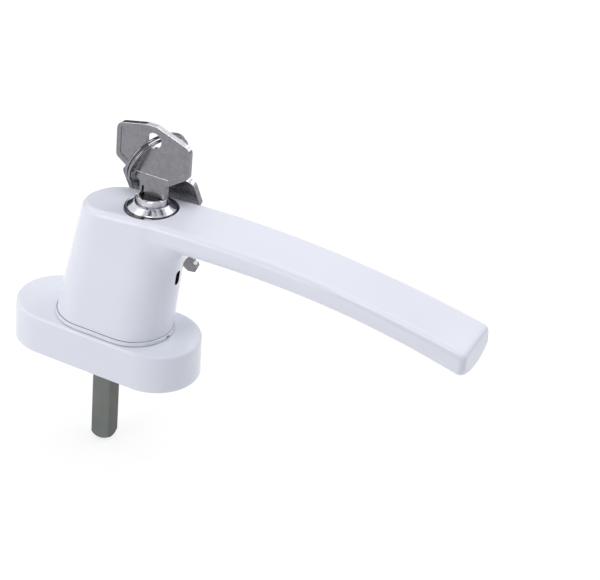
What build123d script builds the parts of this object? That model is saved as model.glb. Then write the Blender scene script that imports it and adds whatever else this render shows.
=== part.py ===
from build123d import *
from math import cos, pi, radians, sin, sqrt
import os

os.makedirs("parts", exist_ok=True)

# Locking window handle, millimetres. Origin: centre of the rosette's sash face on the spindle
# axis. +Z points out of the window sash, the lever runs along +X.

# Rosette
ROSETTE_L = 70.2
ROSETTE_W = 31.7
ROSETTE_H = 14.2
ROSETTE_DRAFT = 0.4
ROSETTE_WALL = 1.8
ROSETTE_TOP_WALL = 1.6
ROSETTE_EDGE = 1.0
ROSETTE_RIM = 0.4

# Neck and lever
NECK_X = 2.8
NECK_L = 42.1
NECK_W = 27.6
NECK_LEAN_LEFT = 0.202
NECK_LEAN_RIGHT = 0.092
NECK_TAPER = 0.1206
NECK_LOFT_H = 54.1
ARC_R = 386.0
ARC_X = 45.5
ARC_Z = 62.6
LEVER_END = 130.2
END_LEAN = 5.0
EDGE_R = 2.3
UNDER_R = 13.0
JUNCTION_BACK = 8.5
JUNCTION_AHEAD = 1.0
JUNCTION_DEPTH = 11.6
TRIM_REACH = 140.0
TRIM_H = 48.0
SECTION_RISE = 3.0
SPIGOT_L = 35.8
SPIGOT_W = 21.4
SPIGOT_GAP = 0.5

# Ring under the neck
COLLAR_L = 43.0
COLLAR_W = 28.5
COLLAR_X = 2.7
COLLAR_T = 1.4
COLLAR_CLEAR = 0.15
NOTCH_ANGLE = -4.0
NOTCH_OUT = 14.0
NOTCH_DEPTH = 2.4
NOTCH_W = 1.6
NOTCH_H = 0.9
COLLAR_LIFT = 0.25
COLLAR_SEAT = 0.15
COLLAR_Z = ROSETTE_H + COLLAR_LIFT
NECK_Z = COLLAR_Z + COLLAR_T + COLLAR_SEAT
SPIGOT_Z = ROSETTE_H + SPIGOT_GAP
NECK_LOFT_TOP = NECK_Z + NECK_LOFT_H

# Hub, spindle and detent
HUB_R = 8.0
HUB_LOW_R = 6.6
HUB_END_Z = 0.05
HUB_FLAT = 5.8
HUB_GROOVE_R = 5.9
HUB_GROOVE_Z = 0.4
HUB_GROOVE_W = 0.65
SPINDLE_A = 7.0
SPINDLE_FIT = 0.05
SPINDLE_LOW = -37.0
SPINDLE_TOP = 30.0
SPINDLE_FOOT_R = 2.0
SPINDLE_FOOT_H = 3.6
ROLL_PIN_R = 0.95
ROLL_PIN_Z = 13.3
CAM_ACROSS = 15.0
CAM_H = 5.25
CAM_CLEAR = 0.05
CAM_CORNER_GAP = 0.9
LEAF_T = 0.5
LEAF_L = 16.8
LEAF_RAISE = 0.45
LEAF_H = 4.6
LEAF_GAP = 0.05

# Base plate and index plate
PLATE_CLEAR = 0.3
PLATE_L = ROSETTE_L - 2 * (ROSETTE_WALL + PLATE_CLEAR)
PLATE_W = ROSETTE_W - 2 * (ROSETTE_WALL + PLATE_CLEAR)
PLATE_H = 3.6
RECESS_R = 9.4
WASHER_GAP = 0.05
RECESS_H = 1.7
TOWER_R = 12.9
TOWER_BORE_R = 9.8
COVER_FIT = 0.3
COVER_BORE_R = TOWER_R + COVER_FIT
INDEX_T = 2.6
INDEX_GAP = 0.25
INDEX_RIM = 0.05
HUB_CLEAR = 0.3
INDEX_BORE_R = HUB_R + HUB_CLEAR
INDEX_R = TOWER_R + INDEX_RIM
POCKET_RADIUS = 10.6
POCKET_CLEAR = 0.2
SCREW_SPACING = 43.0
SCREW_HOLE_R = 2.65
LUG_R = 5.0
LUG_H = 2.0
BOSS_R = 5.2
BOSS_H = 2.4
BUSH_R = 7.25
BUSH_FIT = 0.05
BUSH_FLANGE_GAP = 0.4
BUSH_FLANGE_R = TOWER_BORE_R - BUSH_FLANGE_GAP
BUSH_FLANGE_T = 0.7
CAM_CORNER_R = TOWER_BORE_R - CAM_CORNER_GAP
CAM_Z = PLATE_H + BUSH_FLANGE_T + CAM_CLEAR
HUB_SHOULDER_Z = CAM_Z + CAM_H + CAM_CLEAR
INDEX_Z = HUB_SHOULDER_Z + INDEX_GAP
LEAF_Z = CAM_Z + LEAF_RAISE
INDEX_SCREW_RADIUS = 11.15
INDEX_SCREW_ANGLE = 67.5
INDEX_SCREW_R = 0.8
INDEX_HEAD_R = 1.3
INDEX_HEAD_H = 1.05

# Lock
LOCK_X = 14.7
TRAVEL = 2.2
BORE_Z = 29.0
SEAT_Z = 60.4
SLEEVE_R = 7.6
SLEEVE_FIT = 0.05
SLEEVE_GAP = 0.2
BORE_R = SLEEVE_R + SLEEVE_FIT
SLEEVE_Z = BORE_Z + SLEEVE_GAP
FLANGE_R = 9.0
FLANGE_FIT = 0.1
SEAT_R = FLANGE_R + FLANGE_FIT
FLANGE_T = 1.5
BEZEL_R = 8.3
BEZEL_H = 1.95
BEZEL_SPIGOT_H = 0.7
BARREL_R = 6.3
BARREL_FIT = 0.06
SLEEVE_BORE_R = BARREL_R + BARREL_FIT
BARREL_Z = 32.4
BARREL_STOP = 0.1
BARREL_SHOULDER_Z = SEAT_Z + FLANGE_T - BEZEL_SPIGOT_H - BARREL_STOP
NOSE_R = 5.1
NOSE_Z = 66.0
NOSE_FIT = 0.1
PLUG_R = 4.3
PLUG_FIT = 0.05
PLUG_FLOOR = 0.1
TAIL_R = 2.3
TAIL_FIT = 0.06
TAIL_Z = 37.7
WEB_Z = 38.5
WEB_T = 0.8
PLUG_Z = WEB_Z + WEB_T + PLUG_FLOOR
DRIVE_R = 0.8
DRIVE_OFFSET = 1.2
DRIVE_ANGLE = -60.0
DRIVE_Z = 35.95
CLIP_BORE_R = 1.75
CLIP_R = 3.2
CLIP_T = 0.4
LATCH_Z = 35.9
LATCH_H = 1.3
LATCH_W = 5.4
LATCH_TIP = 6.2
LATCH_TAIL = 2.6
LATCH_FIT = 0.05
PIN_R = 1.55
PIN_FIT = 0.07
PIN_TIP_GAP = 0.3
PIN_TIP_Z = INDEX_Z + INDEX_T + PIN_TIP_GAP
POCKET_R = PIN_R + POCKET_CLEAR
PIN_HEAD_Z = 35.2
PIN_COLLAR_R = 2.5
SPRING_CLEAR = 0.4
PIN_COLLAR_Z = 26.0
PIN_COLLAR_T = 1.5
SPRING_POCKET_R = PIN_COLLAR_R + SPRING_CLEAR
SPRING_POCKET_Z = 19.5
SPRING_WIRE_R = 0.25
SPRING_R = 2.22
SPRING_TURNS = 4.5
WAFER_L = 7.8
WAFER_W = 3.3
WAFER_T = 1.0
WAFER_COUNT = 5
WAFER_Z = 45.0
WAFER_PITCH = 3.2
HOUSING_PIN_R = 0.9
HOUSING_PIN_Z = 36.9
SLOT_L = 5.5
SLOT_W = 2.6
SLOT_Z = 38.5

# Keys and ring
KEY_T = 2.2
KEY_HOLE_X = 14.75
KEY_HOLE_Z = 85.8
KEY_HOLE_R = 2.7
BLADE_W = 5.8
BLADE_TIP_Z = 40.5
SHANK_Z = 66.1
PANEL_DEPTH = 0.25
KEYWAY_FIT = 0.1
RING_R = 10.83
RING_WIRE_R = 0.5
RING_STEP = 1.5
RING_CENTRE = (12.944, 5.165, 76.186)
RING_NORMAL = (0.8446, -0.3791, -0.3781)
SPARE_HOLE = (11.242, 10.806, 66.776)
SPARE_WIDTH = (0.9905, -0.0073, 0.1371)
SPARE_UP = (-0.1304, -0.3615, 0.9232)


def arc_z(x):
    return ARC_Z - ARC_R + sqrt(ARC_R**2 - (x - ARC_X) ** 2)


def neck_span(z):
    left = NECK_X - NECK_L / 2 + NECK_LEAN_LEFT * (z - NECK_Z)
    right = NECK_X + NECK_L / 2 + NECK_LEAN_RIGHT * (z - NECK_Z)
    return left, right, NECK_W - NECK_TAPER * (z - NECK_Z)


POCKET_X = POCKET_RADIUS
KEY_CENTRE = (KEY_HOLE_X, 0, KEY_HOLE_Z)
KEY_PLANE = Plane(origin=KEY_CENTRE, x_dir=(1, 0, 0), z_dir=(0, -1, 0))
spare_w = Vector(*SPARE_WIDTH)
spare_up = Vector(*SPARE_UP)
SPARE_PLANE = Plane(origin=SPARE_HOLE, x_dir=SPARE_WIDTH, z_dir=spare_w.cross(spare_up))

# Handle: neck lofted from stadium to stadium, lever lofted through D-shaped sections, both
# trimmed by one long cylinder that forms the gently bowed top
LEVER_SECTIONS = (
    # x, lean, half-width at the top, widest half-width, depth of widest line, total depth
    (14.0, 0, 10.2, 10.8, 5.0, 10.8),
    (34.0, 0, 10.6, 11.3, 5.0, 10.8),
    (62.0, 0, 10.6, 11.3, 4.9, 10.0),
    (95.0, 0, 10.5, 11.3, 4.8, 9.5),
    (LEVER_END, END_LEAN, 10.6, 11.7, 5.2, 10.7),
)
with BuildPart() as grip:
    for x, lean, half_top, half_side, side_depth, depth in LEVER_SECTIONS:
        facing = (cos(radians(lean)), 0, sin(radians(lean)))
        with BuildSketch(Plane(origin=(x, 0, arc_z(x)), x_dir=(0, 1, 0), z_dir=facing)):
            with BuildLine():
                Line((half_side, -side_depth), (half_top, SECTION_RISE))
                Line((half_top, SECTION_RISE), (-half_top, SECTION_RISE))
                Line((-half_top, SECTION_RISE), (-half_side, -side_depth))
                EllipticalCenterArc(
                    (0, -side_depth),
                    half_side,
                    depth - side_depth,
                    start_angle=180,
                    arc_size=180,
                )
            make_face()
    loft()

trim_left = ARC_X - TRIM_REACH
trim_right = ARC_X + TRIM_REACH
trim_top = ARC_Z + TRIM_H
junction_x = neck_span(ARC_Z - JUNCTION_DEPTH)[1]
with BuildPart() as handle_lever:
    for z in (NECK_Z, NECK_LOFT_TOP):
        left, right, width = neck_span(z)
        with BuildSketch(Plane.XY.offset(z)):
            with Locations(((left + right) / 2, 0)):
                SlotOverall(right - left, width)
    loft()
    add(grip.part)
    with BuildSketch(Plane.XZ):
        with BuildLine():
            Line((trim_left, trim_top), (trim_right, trim_top))
            Line((trim_right, trim_top), (trim_right, arc_z(trim_right)))
            ThreePointArc(
                (trim_right, arc_z(trim_right)), (ARC_X, ARC_Z), (trim_left, arc_z(trim_left))
            )
            Line((trim_left, arc_z(trim_left)), (trim_left, trim_top))
        make_face()
    extrude(amount=NECK_W, both=True, mode=Mode.SUBTRACT)
    # Concave sweep where the lever leaves the neck
    junction = []
    for edge in handle_lever.edges():
        box = edge.bounding_box()
        near = box.min.X > junction_x - JUNCTION_BACK and box.max.X < junction_x + JUNCTION_AHEAD
        if near and box.min.Z > ARC_Z - JUNCTION_DEPTH and box.size.Z > 0.5:
            junction.append(edge)
    fillet(junction, radius=UNDER_R)
    # Rounded rim of the top face and of the lever's end
    upward = handle_lever.faces().filter_by(lambda f: f.normal_at().Z > 0.7)
    rim = list(upward.sort_by(SortBy.AREA)[-1].edges())
    for edge in handle_lever.edges():
        if edge.bounding_box().min.X > LEVER_END - 0.1 and not any(edge.is_same(k) for k in rim):
            rim.append(edge)
    fillet(rim, radius=EDGE_R)
    # Spigot that centres the ring under the neck
    with BuildSketch(Plane.XY.offset(SPIGOT_Z)):
        with Locations((COLLAR_X, 0)):
            SlotOverall(SPIGOT_L, SPIGOT_W)
    extrude(amount=NECK_Z - SPIGOT_Z)
    # Hub: round bearing above, stepped shaft with two flats below
    with BuildSketch(Plane.XY.offset(HUB_SHOULDER_Z)):
        Circle(HUB_R)
    extrude(amount=NECK_Z - HUB_SHOULDER_Z)
    with BuildSketch(Plane.XY.offset(HUB_END_Z)):
        Circle(HUB_LOW_R)
        Rectangle(2 * HUB_LOW_R, 2 * HUB_FLAT, mode=Mode.INTERSECT)
    extrude(amount=HUB_SHOULDER_Z - HUB_END_Z)
    with BuildSketch(Plane.XY.offset(HUB_GROOVE_Z)):
        Circle(HUB_LOW_R + 1)
        Circle(HUB_GROOVE_R, mode=Mode.SUBTRACT)
    extrude(amount=HUB_GROOVE_W, mode=Mode.SUBTRACT)
    # Square socket for the spindle and its cross-pin hole
    with BuildSketch(Plane.XY.offset(HUB_END_Z - 1)):
        Rectangle(SPINDLE_A + 2 * SPINDLE_FIT, SPINDLE_A + 2 * SPINDLE_FIT)
    extrude(amount=SPINDLE_TOP + 0.3 - HUB_END_Z + 1, mode=Mode.SUBTRACT)
    with BuildSketch(Plane.XZ):
        with Locations((0, ROLL_PIN_Z)):
            Circle(ROLL_PIN_R)
    extrude(amount=HUB_R + 1, both=True, mode=Mode.SUBTRACT)
    # Lock bore with its seat, spring pocket and guide of the locking pin
    with Locations((LOCK_X, 0, BORE_Z)):
        Cylinder(BORE_R, 60, align=(Align.CENTER, Align.CENTER, Align.MIN), mode=Mode.SUBTRACT)
    with Locations((LOCK_X, 0, SEAT_Z)):
        Cylinder(SEAT_R, 20, align=(Align.CENTER, Align.CENTER, Align.MIN), mode=Mode.SUBTRACT)
    with Locations((POCKET_X, 0, SPRING_POCKET_Z)):
        Cylinder(
            SPRING_POCKET_R,
            BORE_Z - SPRING_POCKET_Z + 1,
            align=(Align.CENTER, Align.CENTER, Align.MIN),
            mode=Mode.SUBTRACT,
        )
    with Locations((POCKET_X, 0, SPIGOT_Z - 1)):
        Cylinder(
            PIN_R + PIN_FIT,
            SPRING_POCKET_Z - SPIGOT_Z + 2,
            align=(Align.CENTER, Align.CENTER, Align.MIN),
            mode=Mode.SUBTRACT,
        )
    # Upright slot in the neck's lever side, down to the lock sleeve
    with BuildSketch(Plane.YZ.offset(LOCK_X + 5)):
        with Locations((0, SLOT_Z)):
            SlotOverall(SLOT_L, SLOT_W, rotation=90)
    extrude(amount=14, mode=Mode.SUBTRACT)

# Ring between neck and rosette, with a small lifting notch
with BuildPart() as neck_ring:
    with BuildSketch(Plane.XY.offset(COLLAR_Z)):
        with Locations((COLLAR_X, 0)):
            SlotOverall(COLLAR_L, COLLAR_W)
            SlotOverall(
                SPIGOT_L + 2 * COLLAR_CLEAR, SPIGOT_W + 2 * COLLAR_CLEAR, mode=Mode.SUBTRACT
            )
    extrude(amount=COLLAR_T)
    chamfer(neck_ring.faces().sort_by(Axis.Z)[-1].outer_wire().edges(), length=0.25)
    notch_x = COLLAR_X + COLLAR_L / 2 - COLLAR_W / 2 + NOTCH_OUT * cos(radians(NOTCH_ANGLE))
    notch_y = NOTCH_OUT * sin(radians(NOTCH_ANGLE))
    with Locations(Location((notch_x, notch_y, COLLAR_Z + NOTCH_H / 2), (0, 0, NOTCH_ANGLE))):
        Box(NOTCH_DEPTH, NOTCH_W, NOTCH_H, mode=Mode.SUBTRACT)

# Rosette cover: drafted shell, open below, round opening for the hub
with BuildPart() as rosette_cover:
    with BuildSketch():
        SlotOverall(ROSETTE_L, ROSETTE_W)
    with BuildSketch(Plane.XY.offset(ROSETTE_H)):
        SlotOverall(ROSETTE_L - 2 * ROSETTE_DRAFT, ROSETTE_W - 2 * ROSETTE_DRAFT)
    loft()
    fillet(rosette_cover.faces().sort_by(Axis.Z)[-1].edges(), radius=ROSETTE_EDGE)
    fillet(rosette_cover.faces().sort_by(Axis.Z)[0].edges(), radius=ROSETTE_RIM)
    with BuildSketch():
        SlotOverall(ROSETTE_L - 2 * ROSETTE_WALL, ROSETTE_W - 2 * ROSETTE_WALL)
    extrude(amount=ROSETTE_H - ROSETTE_TOP_WALL, mode=Mode.SUBTRACT)
    with BuildSketch():
        Circle(COVER_BORE_R)
    extrude(amount=ROSETTE_H + 1, mode=Mode.SUBTRACT)

screw_x = INDEX_SCREW_RADIUS * cos(radians(INDEX_SCREW_ANGLE))
screw_y = INDEX_SCREW_RADIUS * sin(radians(INDEX_SCREW_ANGLE))
INDEX_SCREW_PLACES = [(sx * screw_x, sy * screw_y) for sx in (1, -1) for sy in (1, -1)]

# Base plate: flat plate, tower for the index plate, screw bosses and locating lugs
LEAF_Y = CAM_ACROSS / 2 + LEAF_GAP + LEAF_T / 2
with BuildPart() as base_plate:
    with BuildSketch():
        SlotOverall(PLATE_L, PLATE_W)
    extrude(amount=PLATE_H)
    with BuildSketch(Plane.XY.offset(PLATE_H)):
        Circle(TOWER_R)
        Circle(TOWER_BORE_R, mode=Mode.SUBTRACT)
    extrude(amount=INDEX_Z - PLATE_H)
    with BuildSketch(Plane.XY.offset(-LUG_H)):
        with GridLocations(SCREW_SPACING, 0, 2, 1):
            Circle(LUG_R)
    extrude(amount=LUG_H)
    with BuildSketch(Plane.XY.offset(PLATE_H)):
        with GridLocations(SCREW_SPACING, 0, 2, 1):
            Circle(BOSS_R)
    extrude(amount=BOSS_H)
    with BuildSketch(Plane.XY.offset(-LUG_H)):
        with GridLocations(SCREW_SPACING, 0, 2, 1):
            Circle(SCREW_HOLE_R)
    extrude(amount=LUG_H + PLATE_H + BOSS_H, mode=Mode.SUBTRACT)
    with BuildSketch():
        Circle(RECESS_R)
    extrude(amount=RECESS_H, mode=Mode.SUBTRACT)
    with BuildSketch():
        Circle(BUSH_R + BUSH_FIT)
    extrude(amount=PLATE_H, mode=Mode.SUBTRACT)
    # Slots in the tower that hold the ends of the two leaf springs
    with BuildSketch(Plane.XY.offset(LEAF_Z - 0.2)):
        with Locations((0, LEAF_Y), (0, -LEAF_Y)):
            Rectangle(LEAF_L + 0.4, LEAF_T + 0.2)
    extrude(amount=INDEX_Z - LEAF_Z + 0.2, mode=Mode.SUBTRACT)
    with BuildSketch(Plane.XY.offset(INDEX_Z)):
        with Locations(*INDEX_SCREW_PLACES):
            Circle(INDEX_SCREW_R)
    extrude(amount=-4, mode=Mode.SUBTRACT)

# Index plate: the locking pin drops into one of four pockets, one for each quarter turn
with BuildPart() as index_plate:
    with BuildSketch(Plane.XY.offset(INDEX_Z)):
        Circle(INDEX_R)
        Circle(INDEX_BORE_R, mode=Mode.SUBTRACT)
        with PolarLocations(POCKET_RADIUS, 4):
            Circle(POCKET_R, mode=Mode.SUBTRACT)
        with Locations(*INDEX_SCREW_PLACES):
            Circle(INDEX_SCREW_R + 0.1, mode=Mode.SUBTRACT)
    extrude(amount=INDEX_T)
    with BuildSketch(Plane.XY.offset(INDEX_Z + INDEX_T)):
        with Locations(*INDEX_SCREW_PLACES):
            Circle(INDEX_HEAD_R + 0.1)
    extrude(amount=-INDEX_HEAD_H - 0.1, mode=Mode.SUBTRACT)

with BuildPart() as index_screws:
    with BuildSketch(Plane.XY.offset(INDEX_Z + INDEX_T - 0.05)):
        with Locations(*INDEX_SCREW_PLACES):
            Circle(INDEX_HEAD_R)
    extrude(amount=-INDEX_HEAD_H)
    with BuildSketch(Plane.XY.offset(INDEX_Z - 3.5)):
        with Locations(*INDEX_SCREW_PLACES):
            Circle(INDEX_SCREW_R - 0.02)
    extrude(amount=INDEX_T + 3.5 - 0.05 - INDEX_HEAD_H)
    with BuildSketch(Plane.XY.offset(INDEX_Z + INDEX_T - 0.05)):
        with Locations(*INDEX_SCREW_PLACES):
            Rectangle(2.0, 0.4)
    extrude(amount=-0.5, mode=Mode.SUBTRACT)

# Bearing bush with flange, thrust washer and open retaining ring
with BuildPart() as bearing_bush:
    with BuildSketch(Plane.XY.offset(RECESS_H + 0.05)):
        Circle(BUSH_R)
    extrude(amount=PLATE_H - RECESS_H - 0.05)
    with BuildSketch(Plane.XY.offset(PLATE_H)):
        Circle(BUSH_FLANGE_R)
    extrude(amount=BUSH_FLANGE_T)
    with BuildSketch(Plane.XY.offset(0)):
        Circle(HUB_LOW_R + BUSH_FIT)
    extrude(amount=10, mode=Mode.SUBTRACT)

with BuildPart() as thrust_washer:
    with BuildSketch(Plane.XY.offset(HUB_GROOVE_Z + HUB_GROOVE_W + WASHER_GAP)):
        Circle(RECESS_R - 0.4)
        Circle(HUB_LOW_R + 0.15, mode=Mode.SUBTRACT)
    extrude(amount=RECESS_H - HUB_GROOVE_Z - HUB_GROOVE_W - WASHER_GAP)

with BuildPart() as retaining_ring:
    with BuildSketch(Plane.XY.offset(HUB_GROOVE_Z + 0.02)):
        Circle(HUB_GROOVE_R + 2.3)
        Circle(HUB_GROOVE_R + 0.05, mode=Mode.SUBTRACT)
        with Locations((-9, 0)):
            Rectangle(12, 5.5, mode=Mode.SUBTRACT)
    extrude(amount=HUB_GROOVE_W - 0.04)

# Detent: four-flat cam on the hub between two leaf springs
with BuildPart() as detent_cam:
    with BuildSketch(Plane.XY.offset(CAM_Z)):
        Circle(CAM_CORNER_R)
        Rectangle(CAM_ACROSS, CAM_ACROSS, mode=Mode.INTERSECT)
        with BuildSketch(mode=Mode.PRIVATE) as cam_bore:
            Circle(HUB_LOW_R + 0.05)
            Rectangle(2 * HUB_LOW_R + 1, 2 * HUB_FLAT + 0.1, mode=Mode.INTERSECT)
        add(cam_bore.sketch, mode=Mode.SUBTRACT)
    extrude(amount=CAM_H)

with BuildPart() as detent_springs:
    with BuildSketch(Plane.XY.offset(LEAF_Z)):
        with Locations((0, LEAF_Y), (0, -LEAF_Y)):
            Rectangle(LEAF_L, LEAF_T)
    extrude(amount=LEAF_H)

# Spindle: square bar with a rounded foot, held by a hollow roll pin
with BuildPart() as spindle:
    with BuildSketch(Plane.XY.offset(SPINDLE_LOW)):
        Rectangle(SPINDLE_A, SPINDLE_A)
    extrude(amount=SPINDLE_TOP - SPINDLE_LOW)
    chamfer(spindle.edges().filter_by(Axis.Z), length=0.35)
    chamfer(spindle.faces().sort_by(Axis.Z)[-1].edges(), length=0.5)
    # Turned, rounded foot
    with BuildSketch(Plane.XZ):
        with BuildLine():
            Line((0, SPINDLE_LOW), (SPINDLE_FOOT_R, SPINDLE_LOW))
            ThreePointArc(
                (SPINDLE_FOOT_R, SPINDLE_LOW),
                (SPINDLE_FOOT_R + 2.1, SPINDLE_LOW + 1.1),
                (SPINDLE_A * 0.72, SPINDLE_LOW + SPINDLE_FOOT_H),
            )
            Line((SPINDLE_A * 0.72, SPINDLE_LOW + SPINDLE_FOOT_H), (SPINDLE_A * 0.72, SPINDLE_TOP))
            Line((SPINDLE_A * 0.72, SPINDLE_TOP), (0, SPINDLE_TOP))
            Line((0, SPINDLE_TOP), (0, SPINDLE_LOW))
        make_face()
    revolve(axis=Axis.Z, mode=Mode.INTERSECT)
    with BuildSketch(Plane.XZ):
        with Locations((0, ROLL_PIN_Z)):
            Circle(ROLL_PIN_R)
    extrude(amount=HUB_R + 1, both=True, mode=Mode.SUBTRACT)

with BuildPart() as roll_pin:
    with BuildSketch(Plane.XZ):
        with Locations((0, ROLL_PIN_Z)):
            Circle(ROLL_PIN_R - 0.02)
            Circle(ROLL_PIN_R - 0.45, mode=Mode.SUBTRACT)
    extrude(amount=HUB_R - 0.3, both=True)

# Lock sleeve with flange, two windows for the latch and a hole for its retaining pin
with BuildPart() as lock_housing:
    with BuildSketch(Plane.XY.offset(SLEEVE_Z)):
        with Locations((LOCK_X, 0)):
            Circle(SLEEVE_R)
    extrude(amount=SEAT_Z - SLEEVE_Z)
    with BuildSketch(Plane.XY.offset(SEAT_Z)):
        with Locations((LOCK_X, 0)):
            Circle(FLANGE_R)
    extrude(amount=FLANGE_T)
    chamfer(lock_housing.faces().sort_by(Axis.Z)[-1].edges(), length=0.3)
    with BuildSketch(Plane.XY.offset(SLEEVE_Z)):
        with Locations((LOCK_X, 0)):
            Circle(SLEEVE_BORE_R)
    extrude(amount=SEAT_Z + FLANGE_T - SLEEVE_Z, mode=Mode.SUBTRACT)
    for z in (LATCH_Z, LATCH_Z - TRAVEL):
        with Locations((LOCK_X - SLEEVE_R, 0, z - 0.1)):
            Box(
                6,
                LATCH_W + 0.2,
                LATCH_H + 0.2,
                align=(Align.CENTER, Align.CENTER, Align.MIN),
                mode=Mode.SUBTRACT,
            )
    with BuildSketch(Plane.YZ.offset(LOCK_X + 3)):
        with Locations((0, HOUSING_PIN_Z)):
            Circle(HOUSING_PIN_R + 0.02)
    extrude(amount=8, mode=Mode.SUBTRACT)

with BuildPart() as housing_pin:
    with BuildSketch(Plane.YZ.offset(LOCK_X + SLEEVE_BORE_R + 0.1)):
        with Locations((0, HOUSING_PIN_Z)):
            Circle(HOUSING_PIN_R)
    extrude(amount=3.6)
    chamfer(housing_pin.faces().sort_by(Axis.X)[-1].edges(), length=0.2)

# Chrome trim: flat foot, domed cone, lip that stops the barrel
BEZEL_Z = SEAT_Z + FLANGE_T
BEZEL_IN = LOCK_X + NOSE_R + NOSE_FIT
BEZEL_SPIGOT = LOCK_X + SLEEVE_BORE_R - 0.1
BEZEL_OUT = LOCK_X + BEZEL_R
with BuildPart() as lock_bezel:
    with BuildSketch(Plane.XZ):
        with BuildLine():
            Line((BEZEL_IN, BEZEL_Z - BEZEL_SPIGOT_H), (BEZEL_SPIGOT, BEZEL_Z - BEZEL_SPIGOT_H))
            Line((BEZEL_SPIGOT, BEZEL_Z - BEZEL_SPIGOT_H), (BEZEL_SPIGOT, BEZEL_Z))
            Line((BEZEL_SPIGOT, BEZEL_Z), (BEZEL_OUT, BEZEL_Z))
            Line((BEZEL_OUT, BEZEL_Z), (BEZEL_OUT, BEZEL_Z + 0.35))
            ThreePointArc(
                (BEZEL_OUT, BEZEL_Z + 0.35),
                (BEZEL_OUT - 1.2, BEZEL_Z + 1.38),
                (BEZEL_OUT - 2.7, BEZEL_Z + BEZEL_H),
            )
            Line((BEZEL_OUT - 2.7, BEZEL_Z + BEZEL_H), (BEZEL_IN, BEZEL_Z + BEZEL_H - 0.2))
            Line((BEZEL_IN, BEZEL_Z + BEZEL_H - 0.2), (BEZEL_IN, BEZEL_Z - BEZEL_SPIGOT_H))
        make_face()
    revolve(axis=Axis((LOCK_X, 0, 0), (0, 0, 1)))

# Barrel: slides in the sleeve, carries plug, latch and locking pin
with BuildPart() as lock_barrel:
    with BuildSketch(Plane.XY.offset(BARREL_Z)):
        with Locations((LOCK_X, 0)):
            Circle(BARREL_R)
    extrude(amount=BARREL_SHOULDER_Z - BARREL_Z)
    with BuildSketch(Plane.XY.offset(BARREL_SHOULDER_Z)):
        with Locations((LOCK_X, 0)):
            Circle(NOSE_R)
    extrude(amount=NOSE_Z - BARREL_SHOULDER_Z)
    chamfer(lock_barrel.faces().sort_by(Axis.Z)[-1].edges(), length=0.25)
    with BuildSketch(Plane.XY.offset(WEB_Z + WEB_T)):
        with Locations((LOCK_X, 0)):
            Circle(PLUG_R + PLUG_FIT)
    extrude(amount=NOSE_Z - WEB_Z, mode=Mode.SUBTRACT)
    with BuildSketch(Plane.XY.offset(WEB_Z)):
        with Locations((LOCK_X, 0)):
            Circle(TAIL_R + TAIL_FIT)
    extrude(amount=WEB_T, mode=Mode.SUBTRACT)
    with BuildSketch(Plane.XY.offset(LATCH_Z + LATCH_H + 0.05)):
        with Locations((LOCK_X, 0)):
            Circle(CLIP_R + 0.5)
    extrude(amount=WEB_Z - LATCH_Z - LATCH_H - 0.05, mode=Mode.SUBTRACT)
    with Locations((LOCK_X + LATCH_TAIL + 0.4, 0, LATCH_Z - 0.05)):
        Box(
            BARREL_R + LATCH_TAIL + 2,
            LATCH_W + 0.1,
            LATCH_H + 0.1,
            align=(Align.MAX, Align.CENTER, Align.MIN),
            mode=Mode.SUBTRACT,
        )
    with BuildSketch(Plane.XY.offset(BARREL_Z)):
        with Locations((POCKET_X, 0)):
            Circle(PIN_R + 0.01)
    extrude(amount=PIN_HEAD_Z - BARREL_Z + 0.05, mode=Mode.SUBTRACT)

# Locking pin: rod with the spring collar, pressed into the barrel off its axis
with BuildPart() as locking_pin:
    with BuildSketch(Plane.XY.offset(PIN_TIP_Z)):
        with Locations((POCKET_X, 0)):
            Circle(PIN_R)
    extrude(amount=PIN_HEAD_Z - PIN_TIP_Z)
    chamfer(locking_pin.faces().sort_by(Axis.Z)[0].edges(), length=0.35)
    with BuildSketch(Plane.XY.offset(PIN_COLLAR_Z)):
        with Locations((POCKET_X, 0)):
            Circle(PIN_COLLAR_R)
    extrude(amount=PIN_COLLAR_T)

# Return spring: one unbroken helix round the locking pin
SPRING_LOW = SPRING_POCKET_Z + SPRING_WIRE_R + 0.05
SPRING_HIGH = PIN_COLLAR_Z - SPRING_WIRE_R - 0.05
SPRING_PITCH = (SPRING_HIGH - SPRING_LOW) / SPRING_TURNS
with BuildPart() as return_spring:
    with BuildLine():
        coil = Helix(
            SPRING_PITCH, SPRING_HIGH - SPRING_LOW, SPRING_R, center=(POCKET_X, 0, SPRING_LOW)
        )
    with BuildSketch(Plane(origin=coil @ 0, z_dir=coil % 0)):
        Circle(SPRING_WIRE_R)
    sweep(path=coil, is_frenet=True)
print("return spring gap", round(SPRING_PITCH - 2 * SPRING_WIRE_R, 2))

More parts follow.
